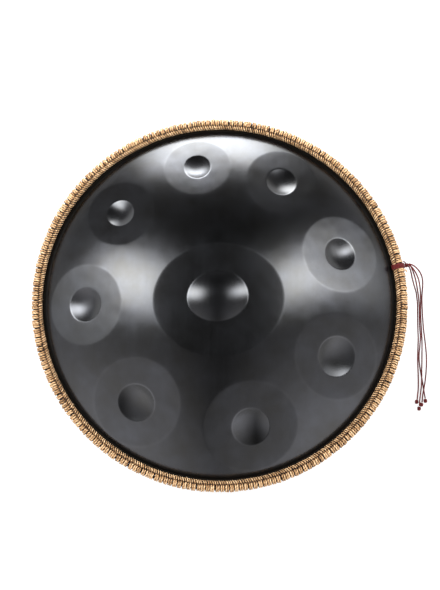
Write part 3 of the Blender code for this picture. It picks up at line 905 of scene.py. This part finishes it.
def shell_plan(fields, dimples, rim):
    """Plan positions that follow every crease closely and the open dome evenly."""
    kept = [
        dimple.ring(scale, spacing) for dimple in dimples for scale, spacing in DIMPLE_RINGS
    ]
    for field in fields:
        for scale, spacing in FIELD_RINGS:
            ring = field.ring(scale, spacing)
            ring = ring[np.hypot(*ring.T) < rim - FIELD_TO_RIM]
            kept.append(ring[clear_of(dimples, ring, DIMPLE_CLEARANCE)])
    for distance in np.arange(0.0, rim - OPEN_TO_RIM, OPEN_SPACING):
        count = max(1, round(2 * math.pi * distance / OPEN_SPACING))
        ring = distance * circle(count, 0.5)
        kept.append(ring[clear_of(fields, ring, FIELD_CLEARANCE)])
    return np.vstack(kept)


def clear_of(patches, places, scale):
    """Whether each plan position lies outside all patches at a scale of their size."""
    directions = dome_directions(places)
    return np.all([patch.share(directions) > scale ** 2 for patch in patches], axis=0)


def crease_wear(directions, fields, dimples):
    """How near each point lies to a crease, where hands and cloths rub the oxide thin."""
    wear = np.zeros(len(directions))
    for patches, (width, strength) in ((fields, FIELD_WEAR), (dimples, DIMPLE_WEAR)):
        for patch in patches:
            distance = (np.sqrt(patch.share(directions)) - 1) * patch.mean
            wear = np.maximum(wear, strength * np.exp(-(distance / width) ** 2))
    return wear


def flange_shade_mask(points):
    """Painted shade on the flange beside the binding, where the rope shades it: zero inside, one
    past the fade.
    """
    distance = np.hypot(points[:, 0], points[:, 1])
    return np.clip((distance - FLANGE_SHADE_START) / FLANGE_SHADE_FADE, 0, 1)


def make_top_shell(steel):
    """The hammered top shell: two skins of one sheet, closed round the flange."""
    fields, dimples = hammered_patches()
    patches = fields + dimples
    waves = make_waves()
    rim = dome_rim()
    turned = circle(SHELL_SEGMENTS)
    plan = np.vstack([rim * turned, shell_plan(fields, dimples, rim)])
    loop = [(i, (i + 1) % SHELL_SEGMENTS) for i in range(SHELL_SEGMENTS)]
    found = geometry.delaunay_2d_cdt([Vector(place) for place in plan], loop, [], 1, TOLERANCE)
    places = np.array([tuple(place) for place in found[0]])
    directions = dome_directions(places)
    outer = hammered_points(directions, patches, waves)
    normals = hammered_normals(directions, patches, waves)

    profile = rim_profile()
    rim_points = ring_points(profile + (0, RIM_HEIGHT))
    inner_radii = np.linspace(rim, HUB_RADIUS, INNER_RINGS + 1)[1:]
    inner_plan = np.vstack([radius * turned for radius in inner_radii])
    inner = hammered_points(dome_directions(inner_plan), patches, waves, STEEL)

    count = len(outer)
    rows = len(profile) + len(inner_radii)
    first_ring = np.arange(SHELL_SEGMENTS)
    after = np.roll(first_ring, -1)
    quads = [
        np.stack([first_ring, count + first_ring, count + after, after], -1),
        ring_quads(count, rows),
    ]
    last = count + (rows - 1) * SHELL_SEGMENTS
    hub = [tuple(range(last + SHELL_SEGMENTS - 1, last - 1, -1))]
    points = np.vstack([outer, rim_points, inner])
    mesh = mesh_from_arrays("top_shell_steel", points, np.vstack(quads), list(found[2]) + hub)
    set_attribute(mesh, "wear", np.concatenate([
        crease_wear(directions, fields, dimples), np.zeros(len(rim_points) + len(inner)),
    ]))
    # Painted shade on the flange beside the binding.
    set_attribute(mesh, "flange_shade", flange_shade_mask(points))
    keep_outer_normals(mesh, normals)
    add_piece(mesh, steel, "top_shell")


def keep_outer_normals(mesh, normals):
    """Give the mesh's first points their exact normals and leave the others smooth."""
    turn_outwards(mesh)
    corners = np.zeros(len(mesh.loops) * 3, np.float32)
    mesh.corner_normals.foreach_get("vector", corners)
    corners = corners.reshape(-1, 3)
    owners = np.zeros(len(mesh.loops), np.int32)
    mesh.loops.foreach_get("vertex_index", owners)
    exact = owners < len(normals)
    corners[exact] = normals[owners[exact]]
    mesh.normals_split_custom_set(corners.tolist())


def turn_outwards(mesh):
    """Make all faces of a closed mesh face outwards."""
    shape = bmesh.new()
    shape.from_mesh(mesh)
    bmesh.ops.recalc_face_normals(shape, faces=shape.faces)
    shape.to_mesh(mesh)
    shape.free()


def bottom_profile():
    """The outer face of the bottom shell, from the fillet to the top of the port's neck."""
    centre = 2 * RIM_HEIGHT - DOME_CENTRE
    start = math.asin(dome_rim() / DOME_RADIUS)
    end = math.asin((LIP_OUTER_RADIUS + LIP_BLEND) / DOME_RADIUS)
    tilt = np.linspace(start, end, DOME_STEPS)
    dome = np.column_stack([DOME_RADIUS * np.sin(tilt), centre - DOME_RADIUS * np.cos(tilt)])
    roll = LIP_INNER_RADIUS - PORT_RADIUS
    lip = (dome[-1], (LIP_OUTER_RADIUS, LIP_EDGE_HEIGHT), (LIP_INNER_RADIUS, 0.0))
    lip = smooth_line(lip, BLEND_STEPS + 1)[1:]
    turned = arc((LIP_INNER_RADIUS, roll), roll, -math.pi / 2, -math.pi, LIP_STEPS)[1:]
    rise = np.linspace(roll, NECK_TOP - STEEL / 2, NECK_STEPS + 1)[1:]
    neck = np.column_stack([np.full(NECK_STEPS, PORT_RADIUS), rise])
    return np.vstack([dome, lip, turned, neck])


def offset_profile(profile, distance):
    """The profile moved sideways by a distance."""
    along = unit(np.gradient(profile, axis=0))
    return profile + distance * np.column_stack([-along[:, 1], along[:, 0]])


def make_bottom_shell(steel):
    """The bottom shell: a plain dome with its flange, and the port's rolled neck."""
    outer = bottom_profile()
    inner = offset_profile(outer, -STEEL)[::-1]
    edge = STEEL / 2
    nose = arc((PORT_RADIUS + edge, NECK_TOP - edge), edge, math.pi, 0, EDGE_STEPS)[1:-1]
    rim = rim_profile()
    rim = np.column_stack([rim[:, 0], RIM_HEIGHT - rim[:, 1]])[::-1]
    profile = np.vstack([outer, nose, inner[:-1], rim])
    points = ring_points(profile)
    quads = ring_quads(0, len(profile), True)
    mesh = mesh_from_arrays("bottom_shell_steel", points, quads)
    turn_outwards(mesh)
    set_attribute(mesh, "wear", np.repeat(lip_wear(profile), SHELL_SEGMENTS))
    # Painted shade on the flange beside the binding.
    set_attribute(mesh, "flange_shade", flange_shade_mask(points))
    add_piece(mesh, steel, "bottom_shell")


def lip_wear(profile):
    """The port's lip is rubbed where the drum stands on it."""
    width, strength = LIP_WEAR
    near = np.exp(-((profile[:, 0] - LIP_INNER_RADIUS) / width) ** 2)
    return strength * near * (profile[:, 1] < LIP_WEAR_TOP)


# ---------------------------------------------------------------- the binding

def polar_paths(radii, heights, bearings, shifts):
    """World paths of strands from radius, height, bearing and sideways shift, and their sideways."""
    angle = bearings[:, None] + shifts / radii
    paths = np.stack([radii * np.cos(angle), radii * np.sin(angle), RIM_HEIGHT + heights], axis=-1)
    sideways = np.stack([-np.sin(angle), np.cos(angle), np.zeros_like(angle)], axis=-1)
    return paths, sideways


def jitter(count, steps, size, knots=5):
    """Smooth random offsets for many strands along their length."""
    coarse = rng.normal(0, size, (count, knots))
    where = np.linspace(0, knots - 1, steps)
    low = np.minimum(where.astype(int), knots - 2)
    share = where - low
    share = share * share * (3 - 2 * share)
    return coarse[:, low] * (1 - share) + coarse[:, low + 1] * share


def make_legs(straw):
    """The wraps: two legs of cord for each hitch, round the flanges from edge to edge."""
    half = np.array(LEG_LINE)
    line = np.vstack([half, half[::-1] * (1, -1)])
    line = smooth_line(line, LEG_STEPS)
    count = 2 * HITCHES
    number = np.arange(count)
    pitch = 2 * math.pi / HITCHES
    side = np.where(number % 2, 1.0, -1.0)
    bearings = (number // 2) * pitch
    bearings = bearings + np.repeat(rng.normal(0, BEARING_JITTER * pitch, HITCHES), 2)
    height = line[:, 1]
    reach = (line[:, 0] - line[:, 0].min()) / (line[:, 0].max() - line[:, 0].min())
    spread = side[:, None] * (LEG_RADIUS + LEG_GAP - LEG_CLOSING * reach)
    slant = LEG_SLANT * height / height.max()
    shifts = spread + slant + jitter(count, LEG_STEPS, LEG_JITTER[0])
    radii = line[:, 0] + jitter(count, LEG_STEPS, LEG_JITTER[1]) * reach
    swell = rng.normal(0, LEG_SWELL, (count, 1)) * reach
    radii = radii + swell * np.cos(np.pi * height / LEG_SWELL_HEIGHT)
    heights = height + jitter(count, LEG_STEPS, LEG_JITTER[2]) + swell * height / height.max()
    paths, sideways = polar_paths(radii, heights, bearings, shifts)
    from_groove = line[:, 0] - GROOVE_RADIUS
    bulge = 1 - GROOVE_PINCH * np.exp(-(from_groove / GROOVE_WIDTH) ** 2)
    thick = LEG_RADIUS * (1 + rng.normal(0, LEG_THICKNESS_JITTER, (count, 1))) * bulge
    # Painted shade on the legs where they dip into the groove.
    sunk = GROOVE_SHADE * np.exp(-(from_groove / GROOVE_SHADE_WIDTH) ** 2)
    phases = rng.uniform(0, 2 * math.pi, count)
    tones = np.clip(rng.normal(0.5, LEG_TONE_JITTER, count), 0, 1)
    for part, chosen in enumerate(np.split(number, LEG_PIECES)):
        swept = sweep_strands(
            paths[chosen], sideways[chosen], thick[chosen], LEG_LAY, phases[chosen], 1, sunk,
        )
        mesh = strand_mesh("rope_wraps_%d" % (part + 1), swept, tones[chosen])
        add_piece(mesh, straw, "rope_wrap")


def make_stitches(straw):
    """The slanted stitches that lock the wraps along both inner edges."""
    line = smooth_line(STITCH_LINE, STITCH_STEPS)
    count = 2 * HITCHES
    pitch = 2 * math.pi / count
    bend = np.linspace(-0.5, 0.5, STITCH_STEPS)
    swell = 1 - STITCH_TAPER * (2 * bend) ** 4
    # Painted shade on the stitches' outer ends, which tuck under the legs.
    past_start = line[:, 0] - STITCH_SHADE_START
    sunk = STITCH_SHADE * np.clip(past_start / STITCH_SHADE_WIDTH, 0, 1)
    for place, side in (("top", 1), ("bottom", -1)):
        bearings = np.arange(count) * pitch + rng.normal(0, BEARING_JITTER * pitch, count)
        shifts = side * STITCH_SLANT * bend + jitter(count, STITCH_STEPS, STITCH_JITTER[0])
        radii = line[:, 0] + jitter(count, STITCH_STEPS, STITCH_JITTER[1])
        heights = side * (line[:, 1] + jitter(count, STITCH_STEPS, STITCH_JITTER[2]))
        paths, sideways = polar_paths(radii, heights, bearings, shifts)
        thick = STITCH_RADIUS * (1 + rng.normal(0, STITCH_THICKNESS_JITTER, (count, 1))) * swell
        phases = rng.uniform(0, 2 * math.pi, count)
        swept = sweep_strands(paths, sideways, thick, STITCH_LAY, phases, side, sunk)
        tones = np.clip(rng.normal(0.5, STITCH_TONE_JITTER, count), 0, 1)
        mesh = strand_mesh("rope_stitches_" + place, swept, tones)
        add_piece(mesh, straw, "rope_chain_" + place)


def make_cores(straw):
    """The filler cords inside the wraps, seen only between them."""
    turned = circle(CORE_STEPS)
    for name, radius, height, half_width, replaced in (
        ("rope_core_top_cord", CORE_RADIUS, CORE_HEIGHT, CORE_HALF_WIDTH, "rope_core_top"),
        ("rope_core_bottom_cord", CORE_RADIUS, -CORE_HEIGHT, CORE_HALF_WIDTH, "rope_core_bottom"),
        ("rope_core_edge_cord", EDGE_CORE_RADIUS, 0.0, EDGE_CORE_HALF_WIDTH, "rope_wrap"),
    ):
        path = np.column_stack([radius * turned, np.full(CORE_STEPS, RIM_HEIGHT + height)])
        upwards = np.broadcast_to((0.0, 0.0, 1.0), path.shape)
        # The cores get painted shade all along, as they lie deep between the wraps.
        mesh = single_strand(
            name, path, upwards, half_width, CORE_LAY, CORE_TONE, sunk=CORE_SHADE, closed=True,
        )
        add_piece(mesh, straw, replaced)


# ---------------------------------------------------------------- the tie

def path_sideways(path):
    """Crosswise directions that turn as little as possible along a path."""
    along = unit(np.gradient(path, axis=0))
    across = np.zeros_like(path)
    across[0] = unit(np.cross(along[0], (0.31, 0.52, 0.79)))
    for i in range(1, len(path)):
        kept = across[i - 1] - along[i] * (across[i - 1] @ along[i])
        across[i] = unit(kept)
    return across


def waxed_strand(name, path, radius, waxed, replaced):
    """One length of waxed cord along a path."""
    mesh = single_strand(name, path, path_sideways(path), radius, WAXED_LAY, WAXED_TONE)
    return add_piece(mesh, waxed, replaced)


def make_tails(waxed):
    """The four tails with their end knots."""
    for number, (route, length) in enumerate(zip(TAIL_ROUTES, TAIL_LENGTHS), 1):
        path = smooth_line(route, TAIL_STEPS)
        names = ("tail_cord_%d" % number, "tail_%d" % number)
        tail = waxed_strand(names[0], path, TAIL_SEEN_RADIUS, waxed, names[1])
        low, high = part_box("end_knot_%d" % number)
        towards = path[-1] - path[-TAIL_END_SPAN]
        knot = knot_piece(
            "end_knot_%d_tied" % number, (low + high) / 2, (high - low) / 2, towards, waxed,
            "end_knot_%d" % number,
        )


def knot_piece(name, centre, half_size, towards, waxed, replaced):
    """A small knot pulled tight: cord that winds through and round a lump."""
    turn = 2 * math.pi * np.arange(KNOT_STEPS) / KNOT_STEPS
    through = KNOT_WINDS * turn
    around = KNOT_ROUNDS * turn
    distance = KNOT_DISTANCE + KNOT_DEPTH * np.cos(through)
    curve = np.column_stack([
        KNOT_LENGTH * np.sin(through), distance * np.cos(around), distance * np.sin(around),
    ])
    spin = np.array(Vector(towards).to_track_quat("X", "Z").to_matrix())
    path = (curve @ spin.T) * (np.array(half_size) - TIE_CORD_RADIUS) + np.array(centre)
    outwards = path - np.array(centre)
    mesh = single_strand(
        name, path, outwards, TIE_SEEN_RADIUS, WAXED_LAY, WAXED_TONE, closed=True,
    )
    return add_piece(mesh, waxed, replaced)


def make_tie(waxed):
    """The four turns side by side over the binding, and the knot at its outer edge."""
    section = TIE_HALF_SECTION + tuple((r, -z) for r, z in reversed(TIE_HALF_SECTION))
    line = smooth_line(section, TIE_STEPS)
    for turn in range(TIE_TURNS):
        step = turn - (TIE_TURNS - 1) / 2
        bearing = TIE_BEARING + step * TIE_TURN_PITCH / TIE_PATH_RADIUS
        path = np.column_stack([
            line[:, 0] * math.cos(bearing), line[:, 0] * math.sin(bearing), RIM_HEIGHT + line[:, 1],
        ])
        name = "tie_turn_%d" % (turn + 1)
        waxed_strand(name + "_cord", path, TIE_SEEN_RADIUS, waxed, name)
    low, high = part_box("tie_knot")
    outwards = Vector((math.cos(TIE_BEARING), math.sin(TIE_BEARING), 0))
    knot_piece("tie_knot_tied", (low + high) / 2, (high - low) / 2, outwards, waxed, "tie_knot")


def tie_frame_point(outwards, sideways, height):
    """A point beside the tie: distance from the axis, distance along the rim and height."""
    along = Vector((math.cos(TIE_BEARING), math.sin(TIE_BEARING), 0))
    across = Vector((-along.y, along.x, 0))
    return along * outwards + across * sideways + Vector((0, 0, RIM_HEIGHT + height))


def make_cord_ends(waxed, straw):
    """The short cut ends beside the tie's knot: one of the waxed cord and one of the straw cord."""
    path = smooth_line([tie_frame_point(*place) for place in WAXED_END_ROUTE], WAXED_END_STEPS)
    waxed_strand("tie_knot_end", path, TIE_CORD_RADIUS, waxed, "tie_knot")
    path = smooth_line([tie_frame_point(*place) for place in ROPE_END_ROUTE], ROPE_END_STEPS)
    radii = np.linspace(*ROPE_END_TAPER, ROPE_END_STEPS) * LEG_RADIUS
    mesh = single_strand("rope_end", path, path_sideways(path), radii, LEG_LAY, ROPE_END_TONE)
    add_piece(mesh, straw, "rope_wrap")


# ---------------------------------------------------------------- the scene

make_camera()
waxed_cord = waxed_material()
make_tails(waxed_cord)
make_tie(waxed_cord)
nitrided_steel = steel_material()
make_top_shell(nitrided_steel)
make_bottom_shell(nitrided_steel)
straw_cord = straw_material(
    "straw_cord_natural", (0.80, 0.55, 0.315), (0.44, 0.236, 0.096), (0.028, 0.009, 0.003),
)
make_legs(straw_cord)
make_stitches(straw_cord)
make_cores(straw_cord)
make_cord_ends(waxed_cord, straw_cord)
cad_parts["rim_adhesive"].data.materials.clear()
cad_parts["rim_adhesive"].data.materials.append(adhesive_material())
make_world()
for light in LIGHTS:
    make_light(light)
make_floor()
bpy.context.scene.view_settings.view_transform = "Standard"
